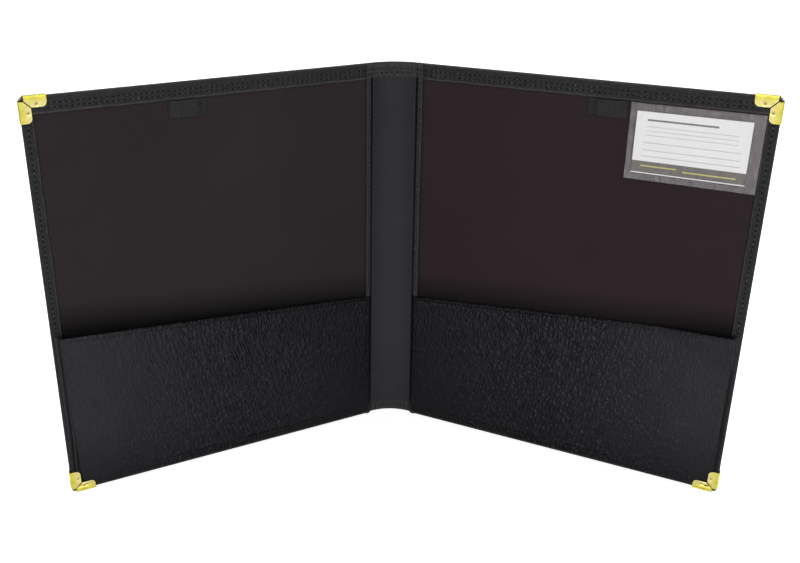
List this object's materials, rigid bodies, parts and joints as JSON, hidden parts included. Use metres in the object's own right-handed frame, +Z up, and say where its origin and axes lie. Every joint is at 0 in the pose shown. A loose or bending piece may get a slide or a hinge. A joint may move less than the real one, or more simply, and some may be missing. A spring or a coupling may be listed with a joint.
{
  "type": "music folder",
  "caption": "Upright choir folder with stiff covers that swing on a soft spine, a gusseted pocket at each foot, brass corners, pencil loops and a clear card sleeve.",
  "frame": {"origin": "middle of the folder's floor area, on the surface that it stands on", "axes": "+Z up along the spine; -Y towards the reader, into the open V; +X to the reader's right"},
  "size_m": [0.5832, 0.1564, 0.3573],
  "materials": {
    "leatherette": "fine pebble grain, satin",
    "spine_vinyl": "smooth satin vinyl",
    "pocket_leatherette": "coarse pebble grain, satin",
    "lining_cloth": "fine matt cloth",
    "board": "raw grey board",
    "corner_brass": "bright pressed sheet brass",
    "clear_film": "clear glossy vinyl film",
    "card": "uncoated white card with plain grey rules"
  },
  "bodies": {
    "spine": {"spine_skin": "leatherette", "spine_lining": "spine_vinyl"},
    "left_cover": {"left_cover_skin": "leatherette", "left_cover_board": "board", "left_lining": "lining_cloth", "left_hinge_band": "spine_vinyl", "left_top_corner": "corner_brass", "left_bottom_corner": "corner_brass", "left_pencil_loop": "leatherette", "left_pocket_base": "pocket_leatherette", "left_pocket_gusset": "pocket_leatherette"},
    "left_pocket": {"left_pocket_flap": "pocket_leatherette"},
    "right_cover": {"right_cover_skin": "leatherette", "right_cover_board": "board", "right_lining": "lining_cloth", "right_hinge_band": "spine_vinyl", "right_top_corner": "corner_brass", "right_bottom_corner": "corner_brass", "right_pencil_loop": "leatherette", "right_pocket_base": "pocket_leatherette", "right_pocket_gusset": "pocket_leatherette", "card_sleeve": "clear_film"},
    "right_pocket": {"right_pocket_flap": "pocket_leatherette"},
    "card": {"name_card": "card"}
  },
  "joints": [
    {"name": "left_cover_fold", "type": "hinge", "parent": "spine", "child": "left_cover", "pos_m": [-0.0195, 0.07311, 0], "axis": [0, 0, 1], "range_deg": [-27.3, 62.7]},
    {"name": "right_cover_fold", "type": "hinge", "parent": "spine", "child": "right_cover", "pos_m": [0.0195, 0.07311, 0], "axis": [0, 0, -1], "range_deg": [-27.3, 62.7]},
    {"name": "left_pocket_opening", "type": "hinge", "parent": "left_cover", "child": "left_pocket", "pos_m": [-0.27944, -0.06645, 0.02465], "axis": [0.8332, 0.4301, 0.3476], "range_deg": [-6, 0.37], "deforming": ["left_pocket_gusset"]},
    {"name": "right_pocket_opening", "type": "hinge", "parent": "right_cover", "child": "right_pocket", "pos_m": [0.28388, -0.06875, 0.02465], "axis": [0.8349, -0.4309, -0.3424], "range_deg": [-4.13, 0.37], "deforming": ["right_pocket_gusset"]},
    {"name": "name_card_slide", "type": "slide", "parent": "right_cover", "child": "card", "axis": [0, 0, 1], "range_m": [0, 0.058]}
  ]
}
